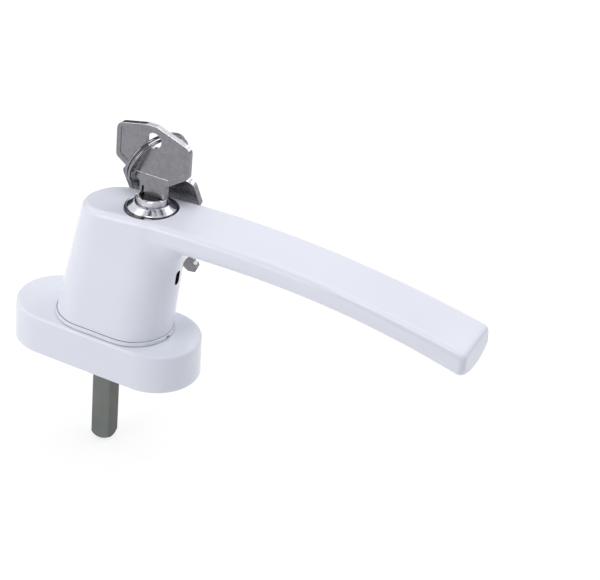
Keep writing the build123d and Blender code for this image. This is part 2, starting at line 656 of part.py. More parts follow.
# Plug with keyway, wafer slots, tail with clip groove and eccentric drive pin
WAFER_PLACES = [WAFER_Z + n * WAFER_PITCH for n in range(WAFER_COUNT)]
with BuildPart() as lock_plug:
    with BuildSketch(Plane.XY.offset(PLUG_Z)):
        with Locations((LOCK_X, 0)):
            Circle(PLUG_R)
    extrude(amount=NOSE_Z - PLUG_Z)
    with BuildSketch(Plane.XY.offset(TAIL_Z)):
        with Locations((LOCK_X, 0)):
            Circle(TAIL_R)
    extrude(amount=PLUG_Z - TAIL_Z)
    with BuildSketch(Plane.XY.offset(WEB_Z - CLIP_T - 0.1)):
        with Locations((LOCK_X, 0)):
            Circle(TAIL_R + 0.5)
            Circle(CLIP_BORE_R - 0.05, mode=Mode.SUBTRACT)
    extrude(amount=CLIP_T + 0.04, mode=Mode.SUBTRACT)
    with BuildSketch(Plane.XY.offset(DRIVE_Z)):
        with Locations((LOCK_X, 0)):
            with PolarLocations(DRIVE_OFFSET, 1, start_angle=DRIVE_ANGLE):
                Circle(DRIVE_R)
    extrude(amount=TAIL_Z - DRIVE_Z)
    with BuildSketch(Plane.XY.offset(BLADE_TIP_Z - 0.6)):
        with Locations((LOCK_X, 0)):
            Rectangle(BLADE_W + 2 * KEYWAY_FIT, KEY_T + 2 * KEYWAY_FIT)
    extrude(amount=NOSE_Z, mode=Mode.SUBTRACT)
    for z in WAFER_PLACES:
        with BuildSketch(Plane.XY.offset(z - 0.05)):
            with Locations((LOCK_X, 0)):
                Rectangle(WAFER_L + 2, WAFER_W + 0.1)
        extrude(amount=WAFER_T + 0.1, mode=Mode.SUBTRACT)

with BuildPart() as plug_clip:
    with BuildSketch(Plane.XY.offset(WEB_Z - CLIP_T - 0.08)):
        with Locations((LOCK_X, 0)):
            Circle(CLIP_R)
            Circle(CLIP_BORE_R, mode=Mode.SUBTRACT)
        with Locations((LOCK_X + CLIP_R, 0)):
            Rectangle(2 * CLIP_R - 1.2, 2.4, mode=Mode.SUBTRACT)
    extrude(amount=CLIP_T)

with BuildPart() as wafers:
    for z in WAFER_PLACES:
        with BuildSketch(Plane.XY.offset(z)):
            with Locations((LOCK_X, 0)):
                Rectangle(WAFER_L, WAFER_W)
                Rectangle(BLADE_W + 2 * KEYWAY_FIT, KEY_T + 2 * KEYWAY_FIT, mode=Mode.SUBTRACT)
        extrude(amount=WAFER_T)

# Latch: flat slide across the barrel, moved by the plug's drive pin
with BuildPart() as latch:
    with BuildSketch(Plane.XY.offset(LATCH_Z)):
        with Locations((LOCK_X, 0)):
            Circle(LATCH_TIP)
        with Locations((LOCK_X + LATCH_TAIL, 0)):
            Rectangle(20, LATCH_W, align=(Align.MAX, Align.CENTER), mode=Mode.INTERSECT)
        with Locations((LOCK_X + DRIVE_OFFSET * cos(radians(DRIVE_ANGLE)), -1.12)):
            Rectangle(2 * (DRIVE_R + LATCH_FIT), 2 * DRIVE_R + 0.46, mode=Mode.SUBTRACT)
    extrude(amount=LATCH_H)


def key_body(plane):
    # Key in a plane: origin at the hole's centre, x across the bow, y away from the blade
    cx = LOCK_X - KEY_HOLE_X
    half = BLADE_W / 2
    tip = BLADE_TIP_Z - KEY_HOLE_Z
    shank = SHANK_Z - KEY_HOLE_Z
    outline = (
        (cx - 1.4, tip),
        (cx + 1.4, tip),
        (cx + half, tip + 2.2),
        (cx + half, shank),
        (5.35, shank),
        (5.35, -15.1),
        (13.2, -9.7),
        (13.2, 0.7),
        (0.9, 5.15),
        (-2.9, 5.15),
        (-13.6, 2.8),
        (-13.6, -8.9),
        (-4.35, -15.4),
        (-4.35, shank + 1.3),
        (-3.3, shank + 1.3),
        (-3.3, shank + 0.5),
        (-2.4, shank + 0.5),
        (-2.4, shank),
        (cx - half, shank - 0.6),
        (cx - half, tip + 2.2),
    )
    panel = (
        (11.6, -8.4),
        (11.6, -0.3),
        (0.7, 3.55),
        (-2.7, 3.55),
        (-12.0, 1.6),
        (-12.0, -7.6),
        (-5.5, -12.2),
        (6.1, -12.2),
    )
    with BuildPart() as key_part:
        with BuildSketch(plane.offset(-KEY_T / 2)):
            with BuildLine():
                Polyline(*outline, close=True)
            make_face()
        extrude(amount=KEY_T)
        bow = []
        for edge in key_part.edges():
            if abs(edge.length - KEY_T) < 0.01:
                spot = plane.to_local_coords(edge.center())
                if spot.Y > -10.5:
                    bow.append(edge)
        fillet(bow, radius=1.6)
        for side in (1, -1):
            with BuildSketch(plane.offset(side * KEY_T / 2)):
                with BuildLine():
                    Polyline(*panel, close=True)
                make_face()
                Circle(KEY_HOLE_R + 0.9, mode=Mode.SUBTRACT)
            extrude(amount=-side * PANEL_DEPTH, mode=Mode.SUBTRACT)
        with BuildSketch(plane.offset(-KEY_T)):
            Circle(KEY_HOLE_R)
        extrude(amount=2 * KEY_T, mode=Mode.SUBTRACT)
        # Milled guide groove along the blade
        with BuildSketch(plane.offset(KEY_T / 2)):
            with Locations((cx - 0.9, (tip + shank) / 2 + 1.5)):
                Rectangle(0.9, shank - tip + 3)
        extrude(amount=-0.7, mode=Mode.SUBTRACT)
    return key_part.part


key_solid = key_body(KEY_PLANE)
spare_solid = key_body(SPARE_PLANE)
with BuildPart() as key:
    add(key_solid)

with BuildPart() as spare_key:
    add(spare_solid)

# Split ring: two flat turns joined by one short crossing
RING_GAP_ANGLE = 9.0
ring_normal = Vector(*RING_NORMAL).normalized()
ring_across = ring_normal.cross(Vector(0, 0, 1)).normalized()
ring_start = ring_normal.cross(ring_across)


def ring_point(angle):
    # Height across the ring goes from one turn's plane to the other's through the crossing
    turn = angle / 360
    if turn < 1 - RING_GAP_ANGLE / 360:
        h = -RING_STEP / 2
    elif turn > 1 + RING_GAP_ANGLE / 360:
        h = RING_STEP / 2
    else:
        h = RING_STEP / 2 * sin((turn - 1) * 360 / RING_GAP_ANGLE * pi / 2)
    a = radians(angle)
    side = ring_start * cos(a) + ring_across * sin(a)
    return Vector(*RING_CENTRE) + side * RING_R + ring_normal * h


RING_FIRST = RING_GAP_ANGLE + 4
RING_LAST = 720 - RING_GAP_ANGLE - 4
ring_angles = []
angle = RING_FIRST
while angle < 360 - RING_GAP_ANGLE - 4:
    ring_angles.append(angle)
    angle += 14
for angle in (350, 355, 360, 365, 370):
    ring_angles.append(angle)
angle = 370 + RING_GAP_ANGLE + 4
while angle < RING_LAST - 6:
    ring_angles.append(angle)
    angle += 14
ring_angles.append(RING_LAST)
with BuildPart() as key_ring:
    with BuildLine():
        turns = Spline(*[ring_point(a) for a in ring_angles])
    with BuildSketch(Plane(origin=turns @ 0, z_dir=turns % 0)):
        Circle(RING_WIRE_R)
    sweep(path=turns)
samples = [turns @ (n / 900) for n in range(901)]
step = turns.length / 900
least = min(
    (samples[i] - samples[j]).length
    for i in range(0, 901, 3)
    for j in range(i + int(6 / step), 901)
)
print("key ring gap", round(least - 2 * RING_WIRE_R, 2))

PARTS = (
    ("handle_lever", handle_lever),
    ("neck_ring", neck_ring),
    ("rosette_cover", rosette_cover),
    ("base_plate", base_plate),
    ("index_plate", index_plate),
    ("index_screws", index_screws),
    ("bearing_bush", bearing_bush),
    ("thrust_washer", thrust_washer),
    ("retaining_ring", retaining_ring),
    ("detent_cam", detent_cam),
    ("detent_springs", detent_springs),
    ("spindle", spindle),
    ("roll_pin", roll_pin),
    ("lock_housing", lock_housing),
    ("housing_pin", housing_pin),
    ("lock_bezel", lock_bezel),
    ("lock_barrel", lock_barrel),
    ("locking_pin", locking_pin),
    ("return_spring", return_spring),
    ("lock_plug", lock_plug),
    ("plug_clip", plug_clip),
    ("wafers", wafers),
    ("latch", latch),
    ("key", key),
    ("spare_key", spare_key),
    ("key_ring", key_ring),
)
for name, piece in PARTS:
    piece.part.label = name
    export_step(piece.part, f"parts/{name}.step")
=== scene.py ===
import math
import bmesh
import bpy
from mathutils import Matrix, Vector


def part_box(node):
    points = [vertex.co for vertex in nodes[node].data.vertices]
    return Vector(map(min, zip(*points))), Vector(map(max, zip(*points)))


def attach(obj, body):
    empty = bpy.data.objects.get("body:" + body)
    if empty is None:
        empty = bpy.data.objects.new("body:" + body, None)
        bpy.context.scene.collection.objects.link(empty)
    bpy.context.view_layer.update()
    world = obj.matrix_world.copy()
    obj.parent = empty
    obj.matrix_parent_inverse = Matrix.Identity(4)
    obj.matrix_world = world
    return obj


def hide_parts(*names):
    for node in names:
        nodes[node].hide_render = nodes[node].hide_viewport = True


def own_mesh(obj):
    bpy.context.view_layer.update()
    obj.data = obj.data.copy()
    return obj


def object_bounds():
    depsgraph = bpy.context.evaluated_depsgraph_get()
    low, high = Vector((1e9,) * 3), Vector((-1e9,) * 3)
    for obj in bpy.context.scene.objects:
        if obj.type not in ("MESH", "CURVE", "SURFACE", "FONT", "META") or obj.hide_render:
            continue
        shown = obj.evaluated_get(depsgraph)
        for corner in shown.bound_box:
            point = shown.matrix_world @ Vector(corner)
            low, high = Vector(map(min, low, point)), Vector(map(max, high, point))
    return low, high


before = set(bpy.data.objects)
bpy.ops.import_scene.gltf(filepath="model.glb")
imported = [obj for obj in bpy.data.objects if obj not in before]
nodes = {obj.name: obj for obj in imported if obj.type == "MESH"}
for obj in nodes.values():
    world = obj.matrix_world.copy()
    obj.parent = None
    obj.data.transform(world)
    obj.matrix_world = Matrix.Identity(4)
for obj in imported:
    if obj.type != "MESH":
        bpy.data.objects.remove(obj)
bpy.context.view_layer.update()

MM_PER_M = 1000


# Node helpers

class Tree:
    """Thin wrapper that adds and joins shader nodes."""

    def __init__(self, name):
        self.material = bpy.data.materials.new(name)
        self.material.use_nodes = True
        self.nodes = self.material.node_tree.nodes
        self.links = self.material.node_tree.links
        self.shader = self.nodes["Principled BSDF"]
        self.place = self.nodes.new("ShaderNodeTexCoord").outputs["Object"]

    def add(self, kind, **values):
        node = self.nodes.new(kind)
        for key, value in values.items():
            setattr(node, key, value)
        return node

    def join(self, source, target):
        self.links.new(source, target)

    def shade(self, source, target):
        self.join(source, self.shader.inputs[target])

    def stretched(self, scale):
        mapping = self.add("ShaderNodeMapping")
        mapping.inputs["Scale"].default_value = scale
        self.join(self.place, mapping.inputs["Vector"])
        return mapping.outputs["Vector"]

    def noise(self, scale, detail, roughness=0.5, vector=None):
        node = self.add("ShaderNodeTexNoise")
        node.inputs["Scale"].default_value = scale
        node.inputs["Detail"].default_value = detail
        node.inputs["Roughness"].default_value = roughness
        self.join(vector or self.place, node.inputs["Vector"])
        return node.outputs["Fac"]

    def spread(self, source, low, high, lowest=0.0, highest=1.0):
        node = self.add("ShaderNodeMapRange")
        node.inputs["From Min"].default_value = low
        node.inputs["From Max"].default_value = high
        node.inputs["To Min"].default_value = lowest
        node.inputs["To Max"].default_value = highest
        self.join(source, node.inputs["Value"])
        return node.outputs["Result"]

    def blend(self, factor, first, second):
        node = self.add("ShaderNodeMix", data_type="RGBA")
        node.inputs["A"].default_value = (*first, 1)
        node.inputs["B"].default_value = (*second, 1)
        self.join(factor, node.inputs["Factor"])
        return node.outputs["Result"]

    def bump(self, height, distance, strength=1.0, normal=None):
        node = self.add("ShaderNodeBump")
        node.inputs["Distance"].default_value = distance
        node.inputs["Strength"].default_value = strength
        self.join(height, node.inputs["Height"])
        if normal:
            self.join(normal, node.inputs["Normal"])
        return node.outputs["Normal"]

    def set(self, **values):
        for key, value in values.items():
            self.shader.inputs[key.replace("_", " ")].default_value = value


# Materials: noise scales count per metre, depths of relief are in metres, and each range is the
# part of a noise that is spread over the whole change of colour or roughness

CLOUD_RANGE = (0.35, 0.65)

COAT_CLOUD_SCALE = 35
COAT_WEAR_SCALE = 160
COAT_WEAR_RANGE = (0.3, 0.7)
COAT_WEAR_CHANGE = 0.07
COAT_IOR = 1.5
PEEL_SCALE = 900
PEEL_DEPTH = 0.00002
GRIT_SCALE = 5200
GRIT_DEPTH = 0.000004
GRIT_STRENGTH = 0.3

GRAIN_DETAIL = 4
GRAIN_ROUGHNESS = 0.6
LINE_RANGE = (0.25, 0.75)
LINE_DEPTH = 0.000003
SMOOTHER = 0.06
ROUGHER = 0.1

# Scales of a metal's grain along x, y and z: the same all over, in fine rings round z on turned
# or tumbled pieces, and in fine lines along z on a drawn bar
EVEN = (900, 900, 900)
TURNED = (300, 300, 2400)
TURNED_FINE = (300, 300, 2600)
TUMBLED = (500, 500, 2600)
DRAWN = (2600, 2600, 60)
CAST_DEPTH = 0.00002
MIRROR_DEPTH = 0.000001

PATINA_SCALE = 80
PATINA_DETAIL = 3
PATINA_RANGE = (0.3, 0.7)
PATINA_ROUGHNESS = (0.28, 0.44)
# Places on the colour ramp and colours of the patina's tones
PATINA = (
    (0.0, (0.15, 0.165, 0.165)),
    (0.35, (0.164, 0.178, 0.17)),
    (0.55, (0.192, 0.186, 0.16)),
    (0.75, (0.165, 0.192, 0.186)),
    (1.0, (0.2, 0.215, 0.21)),
)
# Level of the painted shade on the spindle's flanks
SHADED_FLANK_LEVEL = 0.52


def white_coat(name, tint, shade, roughness, peel):
    # Powder coat or moulded plastic: faint cloudiness, soft orange peel, uneven gloss
    t = Tree(name)
    cloud = t.spread(t.noise(COAT_CLOUD_SCALE, detail=2), *CLOUD_RANGE)
    t.shade(t.blend(cloud, tint, shade), "Base Color")
    wear = t.noise(COAT_WEAR_SCALE, detail=3)
    roughest = roughness + COAT_WEAR_CHANGE
    t.shade(t.spread(wear, *COAT_WEAR_RANGE, roughness, roughest), "Roughness")
    skin = t.bump(t.noise(PEEL_SCALE, detail=2), PEEL_DEPTH, peel)
    grit = t.noise(GRIT_SCALE, detail=1)
    t.shade(t.bump(grit, GRIT_DEPTH, GRIT_STRENGTH, skin), "Normal")
    t.set(IOR=COAT_IOR)
    return t.material


def grained(t, grain, smoothest, roughest, depth):
    # Fine lines in the roughness and height of a metal
    lines = t.noise(1, GRAIN_DETAIL, GRAIN_ROUGHNESS, t.stretched(grain))
    t.shade(t.spread(lines, *LINE_RANGE, smoothest, roughest), "Roughness")
    t.shade(t.bump(lines, depth), "Normal")
    t.set(Metallic=1.0)


def metal(name, tint, shade, roughness, cloud_scale, grain, depth=LINE_DEPTH):
    # Metal with a clouded colour and a directional grain
    t = Tree(name)
    cloud = t.spread(t.noise(cloud_scale, GRAIN_DETAIL, GRAIN_ROUGHNESS), *CLOUD_RANGE)
    t.shade(t.blend(cloud, tint, shade), "Base Color")
    grained(t, grain, roughness - SMOOTHER, roughness + ROUGHER, depth)
    return t.material


def drawn_steel(name, level=1.0):
    # Passivated square bar: drawn lines along its length, clouded grey-green patina with faint
    # brown patches
    t = Tree(name)
    tones = t.add("ShaderNodeValToRGB")
    cloud = t.noise(PATINA_SCALE, PATINA_DETAIL, GRAIN_ROUGHNESS)
    t.join(t.spread(cloud, *PATINA_RANGE), tones.inputs["Fac"])
    stops = tones.color_ramp.elements
    for place, _ in PATINA[1:-1]:
        stops.new(place)
    for stop, (_, colour) in zip(stops, PATINA):
        stop.color = (*(value * level for value in colour), 1)
    t.shade(tones.outputs["Color"], "Base Color")
    grained(t, DRAWN, *PATINA_ROUGHNESS, LINE_DEPTH)
    return t.material


# Name, two colours, roughness, strength of the orange peel
coat = white_coat("coat_white", (0.79, 0.81, 0.89), (0.775, 0.795, 0.878), 0.09, 0.05)
plastic = white_coat("plastic_white", (0.79, 0.81, 0.885), (0.775, 0.795, 0.872), 0.08, 0.03)
acetal = white_coat("plastic_grey", (0.05, 0.05, 0.055), (0.065, 0.065, 0.07), 0.45, 0.2)
# Near-black painted shade: the lock's sleeve seen in the slot, the slot's walls and the lever's
# foot in the joint
painted_shade_black = white_coat(
    "painted_shade_black", (0.008, 0.008, 0.009), (0.012, 0.012, 0.013), 0.5, 0.2
)
# Grey for the neck ring's faces in the joints: painted shade
joint_painted_shade = white_coat("joint_painted_shade", (0.3, 0.3, 0.33), (0.24, 0.24, 0.27), 0.4, 0.1)

# Name, two colours, roughness, scale of the clouds, grain
zinc = metal("zinc_satin", (0.45, 0.45, 0.47), (0.38, 0.38, 0.4), 0.26, 400, TURNED)
brass = metal("brass_turned", (0.62, 0.5, 0.27), (0.52, 0.41, 0.2), 0.28, 300, TURNED_FINE)
nose = metal("zinc_polished", (0.66, 0.64, 0.67), (0.58, 0.56, 0.59), 0.2, 400, TURNED)
# The plug's face is painted near-black: painted shade of the recess where the key enters
plug_painted_shade = metal("plug_painted_shade", (0.05, 0.048, 0.05), (0.03, 0.03, 0.032), 0.3, 400, TURNED)
nickel = metal(
    "nickel_tumbled", (0.255, 0.25, 0.272), (0.215, 0.211, 0.23), 0.26, 600, TUMBLED
)

# The same, and depth of the relief
cast = metal(
    "metal_cast", (0.55, 0.56, 0.58), (0.45, 0.46, 0.48), 0.42, 700, EVEN, CAST_DEPTH
)
chrome = metal(
    "chrome_bright", (0.6, 0.61, 0.67), (0.56, 0.57, 0.63), 0.1, 500, EVEN, MIRROR_DEPTH
)
chrome_dark = metal(
    "chrome_dark", (0.16, 0.16, 0.17), (0.11, 0.11, 0.12), 0.12, 500, EVEN, MIRROR_DEPTH
)
wire = metal(
    "wire_nickel", (0.26, 0.26, 0.28), (0.2, 0.2, 0.22), 0.06, 500, EVEN, MIRROR_DEPTH
)
# Bright nickel for the painted highlight on the keys' upward edges
edge_highlight_nickel = metal(
    "nickel_painted_highlight", (0.78, 0.78, 0.81), (0.7, 0.7, 0.73), 0.14, 600, EVEN, MIRROR_DEPTH
)

steel = drawn_steel("steel_drawn")
# A darker copy of the steel: painted shade on the spindle's two flanks that face along x
steel_painted_shade = drawn_steel("steel_drawn_painted_shade", SHADED_FLANK_LEVEL)

finish = {
    "handle_lever": coat, "neck_ring": plastic, "rosette_cover": plastic, "base_plate": cast,
    "index_plate": zinc, "index_screws": steel, "bearing_bush": acetal, "thrust_washer": acetal,
    "retaining_ring": steel, "detent_cam": acetal, "detent_springs": zinc, "spindle": steel,
    "roll_pin": zinc, "lock_housing": painted_shade_black, "housing_pin": steel, "lock_bezel": chrome,
    "lock_barrel": nose, "locking_pin": zinc, "return_spring": zinc, "lock_plug": plug_painted_shade,
    "plug_clip": steel, "wafers": brass, "latch": zinc, "key": nickel, "spare_key": nickel,
    "key_ring": wire,
}
for node, material in finish.items():
    nodes[node].data.materials.clear()
    nodes[node].data.materials.append(material)


# Faces with a second material, for a finish of their own or for painted shade and highlight,
# told by their place in millimetres and by their normal

FLANGE_Z = 60.3
SLOT_LOW = (19.5, -1.4, 35.6)
SLOT_HIGH = (26.2, 1.4, 41.4)
LEVER_FOOT_Z = 16.0
FOOT_REACH = 0.1
UPRIGHT = 0.9
SLOT_WALL = 0.7
FLANK = 0.72
BOW_FACE = 0.93
# Least upward tilt of a key edge that gets the painted highlight
HIGHLIGHT_RISE = 0.3


def second_finish(mesh, material, chosen):
    mesh.materials.append(material)
    for face in mesh.polygons:
        face.material_index = 1 if chosen(face) else 0


def on_flange(face):
    return face.center.z * MM_PER_M > FLANGE_Z


def painted_shade_faces(face):
    # Walls of the slot in the neck, and the lever's foot in the joint, which get painted shade
    spot = face.center * MM_PER_M
    in_slot = all(low < place < high for low, place, high in zip(SLOT_LOW, spot, SLOT_HIGH))
    at_foot = abs(spot.z - LEVER_FOOT_Z) < FOOT_REACH
    in_joint = at_foot and face.normal.z < -UPRIGHT
    return in_joint or in_slot and abs(face.normal.x) < SLOT_WALL


# The lock's sleeve is painted near-black as shade inside the neck and is plated at its flange,
# the neck ring's upper and lower faces are painted grey as the shade of the joints, and two
# flanks of the spindle get painted shade
second_finish(nodes["lock_housing"].data, chrome_dark, on_flange)
second_finish(nodes["handle_lever"].data, painted_shade_black, painted_shade_faces)
second_finish(nodes["neck_ring"].data, joint_painted_shade, lambda face: abs(face.normal.z) > UPRIGHT)
second_finish(nodes["spindle"].data, steel_painted_shade, lambda face: abs(face.normal.x) > FLANK)


# Mesh helpers

JOIN_DISTANCE = 1e-7
CREASE_DEGREES = 35
CIRCLE_STEPS = 40
EDGE_STEPS = 2
# A corner's arc takes at most this share of a side, and one that reaches less is left out
CORNER_STEPS = 6
CORNER_SHARE = 0.45
LEAST_REACH = 0.02


def in_scene(name, data):
    item = bpy.data.objects.new(name, data)
    bpy.context.scene.collection.objects.link(item)
    return item


def full_turn(steps):
    return [2 * math.pi * k / steps for k in range(steps)]


def band(work, first, second):
    # Faces between two closed rows of points
    count = len(first)
    for k in range(count):
        after = (k + 1) % count
        work.faces.new((first[k], first[after], second[after], second[k]))


def as_mesh(work, name):
    mesh = bpy.data.meshes.new(name)
    work.to_mesh(mesh)
    work.free()
    return mesh


def merged(name, meshes, material, body, stands_for, crease=CREASE_DEGREES):
    # One piece of the given meshes, in the place of a CAD node
    work = bmesh.new()
    for part in meshes:
        work.from_mesh(part)
        bpy.data.meshes.remove(part)
    bmesh.ops.remove_doubles(work, verts=work.verts, dist=JOIN_DISTANCE)
    bmesh.ops.recalc_face_normals(work, faces=work.faces)
    mesh = as_mesh(work, name)
    mesh.materials.clear()
    mesh.materials.append(material)
    for face in mesh.polygons:
        face.use_smooth = True
        face.material_index = 0
    mesh.set_sharp_from_angle(angle=math.radians(crease))
    item = in_scene(name, mesh)
    item.modifiers.new("shading", "WEIGHTED_NORMAL").keep_sharp = True
    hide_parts(stands_for)
    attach(item, body)
    return item


def rounded(corners):
    # Closed outline through pairs of a point and a radius, with short arcs at the corners
    points = [Vector(point) for point, _ in corners]
    loop = []
    for i, (_, radius) in enumerate(corners):
        here = points[i]
        to_last = points[i - 1] - here
        to_next = points[(i + 1) % len(points)] - here
        reach = radius / math.tan(to_last.angle(to_next) / 2)
        reach = min(reach, to_last.length * CORNER_SHARE, to_next.length * CORNER_SHARE)
        if reach < LEAST_REACH:
            loop.append(here)
            continue
        start = here + to_last.normalized() * reach
        end = here + to_next.normalized() * reach
        for k in range(CORNER_STEPS + 1):
            t = k / CORNER_STEPS
            loop.append(start * (1 - t) ** 2 + here * 2 * t * (1 - t) + end * t ** 2)
    return loop


def evenly_rounded(points, radius):
    return rounded([(point, radius) for point in points])


def circle(radius):
    turns = full_turn(CIRCLE_STEPS)
    return [Vector((radius * math.cos(a), radius * math.sin(a))) for a in turns]


def plate(loops, thickness, edge):
    # Flat plate between outlines, with rounded edges, as a mesh around the plane z = 0
    curve = bpy.data.curves.new("plate", "CURVE")
    curve.dimensions = "2D"
    curve.fill_mode = "BOTH"
    curve.extrude = thickness / 2 - edge
    curve.bevel_depth = edge
    curve.bevel_resolution = EDGE_STEPS
    curve.offset = -edge
    for loop in loops:
        spline = curve.splines.new("POLY")
        spline.points.add(len(loop) - 1)
        for point, place in zip(spline.points, loop):
            point.co = (place.x, place.y, 0, 1)
        spline.use_cyclic_u = True
    item = in_scene("plate", curve)
    bpy.context.view_layer.update()
    solid = item.evaluated_get(bpy.context.evaluated_depsgraph_get())
    mesh = bpy.data.meshes.new_from_object(solid)
    bpy.data.objects.remove(item)
    return mesh


def plane_matrix(origin, across, up):
    x, y = Vector(across).normalized(), Vector(up).normalized()
    z = x.cross(y)
    return Matrix((
        (x.x, y.x, z.x, origin[0] / MM_PER_M),
        (x.y, y.y, z.y, origin[1] / MM_PER_M),
        (x.z, y.z, z.z, origin[2] / MM_PER_M),
        (0, 0, 0, 1),
    ))


def tube(points, radius, sides):
    # Round wire through the points, with flat ends
    work = bmesh.new()
    rings = []
    normal = None
    last = len(points) - 1
    for i, here in enumerate(points):
        ahead = (points[min(i + 1, last)] - points[max(i - 1, 0)]).normalized()
        if normal is None:
            normal = ahead.orthogonal().normalized()
        normal = (normal - ahead * normal.dot(ahead)).normalized()
        side = ahead.cross(normal)
        rings.append([
            work.verts.new(here + (normal * math.cos(a) + side * math.sin(a)) * radius)
            for a in full_turn(sides)
        ])
    for first, second in zip(rings, rings[1:]):
        band(work, first, second)
    work.faces.new(list(reversed(rings[0])))
    work.faces.new(rings[-1])
    return as_mesh(work, "tube")


# Keys, in a plane of their own: millimetres, origin at the ring hole, blade down

LOCK_X = 14.7
KEY_HOLE_X = 14.75
KEY_HOLE_Z = 85.8
SPARE_HOLE = (11.242, 10.806, 66.776)
SPARE_ACROSS = (0.9905, -0.0073, 0.1371)
SPARE_UP = (-0.1304, -0.3615, 0.9232)
KEY_THICK = 2.2
KEY_EDGE = 0.16
HOLE_R = 2.7

BLADE_SHIFT = LOCK_X - KEY_HOLE_X
BLADE_HALF = 2.9
BLADE_LEFT = BLADE_SHIFT - BLADE_HALF
BLADE_RIGHT = BLADE_SHIFT + BLADE_HALF
SHANK_Y = 66.1 - KEY_HOLE_Z
SHANK_RADIUS = 0.3
TIP_Y = 40.5 - KEY_HOLE_Z
TIP_HALF = 1.4
TIP_RISE = 2.2
TIP_RADIUS = 0.5
TIP_SIDE_RADIUS = 0.6

CUT_DEPTHS = (0.9, 0.45, 0.75, 0.3, 0.8)
CUT_LAG = 2
CUT_Y = 45.5 - KEY_HOLE_Z
CUT_PITCH = 3.2
CUT_MOUTH = 0.9
CUT_FLOOR = 0.25
CUT_RADIUS = 0.12

# Corners of the bow with their radii, from the shank's right side round to its left
BOW = (
    ((5.35, SHANK_Y), 0.4),
    ((5.35, -15.1), 0.8),
    ((13.2, -9.7), 1.8),
    ((13.2, 0.7), 3.2),
    ((0.9, 5.15), 1.6),
    ((-2.9, 5.15), 1.8),
    ((-13.6, 2.8), 3.0),
    ((-13.6, -8.9), 1.8),
    ((-4.35, -15.4), 1.2),
)
# Slot and step at the lower left of the shank
STEP = (
    (-4.35, SHANK_Y + 0.6),
    (-3.35, SHANK_Y + 0.6),
    (-3.35, SHANK_Y + 2.9),
    (-2.75, SHANK_Y + 2.9),
    (-2.75, SHANK_Y + 0.5),
    (-2.4, SHANK_Y + 0.5),
    (-2.4, SHANK_Y),
    (BLADE_LEFT, SHANK_Y - 0.6),
)
STEP_RADIUS = 0.2
# Recessed field of the bow, and the thinner web in it, which reaches a little under the rim
FIELD = (
    (11.6, -8.4), (11.6, -0.3), (0.7, 3.55), (-2.7, 3.55),
    (-12.0, 1.6), (-12.0, -7.6), (-5.5, -12.2), (6.1, -12.2),
)
FIELD_RADIUS = 0.5
WEB_GROWTH = 1.03
WEB_LIFT = 0.1
WEB_THINNER = 0.5
WEB_EDGE = 0.12


def wafer_cuts(side, lag):
    # Cuts in one edge of the blade from the tip up; side is 1 on the right, -1 on the left
    edge = BLADE_SHIFT + side * BLADE_HALF
    corners = []
    for n in range(len(CUT_DEPTHS)):
        floor = edge - side * CUT_DEPTHS[(n + lag) % len(CUT_DEPTHS)]
        y = CUT_Y + CUT_PITCH * n
        corners += [
            ((edge, y - CUT_MOUTH), CUT_RADIUS),
            ((floor, y - CUT_FLOOR), CUT_RADIUS),
            ((floor, y + CUT_FLOOR), CUT_RADIUS),
            ((edge, y + CUT_MOUTH), CUT_RADIUS),
        ]
    return corners


def key_meshes(place):
    # Key with wafer cuts on both edges and a raised rim round the recessed field of its bow
    outline = rounded([
        ((BLADE_SHIFT - TIP_HALF, TIP_Y), TIP_RADIUS),
        ((BLADE_SHIFT + TIP_HALF, TIP_Y), TIP_RADIUS),
        ((BLADE_RIGHT, TIP_Y + TIP_RISE), TIP_SIDE_RADIUS),
        *wafer_cuts(1, 0),
        ((BLADE_RIGHT, SHANK_Y), SHANK_RADIUS),
        *BOW,
        *((point, STEP_RADIUS) for point in STEP),
        *reversed(wafer_cuts(-1, CUT_LAG)),
        ((BLADE_LEFT, TIP_Y + TIP_RISE), TIP_SIDE_RADIUS),
    ])
    rim = plate([outline, evenly_rounded(FIELD, FIELD_RADIUS)], KEY_THICK, KEY_EDGE)
    under_rim = [(x * WEB_GROWTH, y * WEB_GROWTH + WEB_LIFT) for x, y in FIELD]
    web = plate(
        [evenly_rounded(under_rim, FIELD_RADIUS), circle(HOLE_R)],
        KEY_THICK - WEB_THINNER, WEB_EDGE,
    )
    for mesh in (rim, web):
        mesh.transform(Matrix.Scale(1 / MM_PER_M, 4))
        mesh.transform(place)
    return [rim, web]


key_place = plane_matrix((KEY_HOLE_X, 0, KEY_HOLE_Z), (1, 0, 0), (0, 0, 1))
spare_place = plane_matrix(SPARE_HOLE, SPARE_ACROSS, SPARE_UP)
main_key = merged("key_cut", key_meshes(key_place), nickel, "key_in_lock", "key")
spare_key = merged(
    "spare_key_cut", key_meshes(spare_place), nickel, "spare", "spare_key"
)
for item, place in ((main_key, key_place), (spare_key, spare_place)):
    facing = place.col[2].xyz
    # Edges and bevels that face upward are painted bright: a painted highlight
    second_finish(
        item.data, edge_highlight_nickel,
        lambda face: abs(face.normal.dot(facing)) < BOW_FACE and face.normal.z > HIGHLIGHT_RISE,
    )


# Split ring: two turns of round wire, joined by a short crossing; angles in degrees

RING_CENTRE = (12.944, 5.165, 76.186)
RING_NORMAL = (0.8446, -0.3791, -0.3781)
RING_R = 10.83
RING_LIFT = 0.75
RING_CROSSING = 9.0
RING_END = 4
RING_STEP = 3
RING_WIRE_R = 0.0005
RING_SIDES = 20


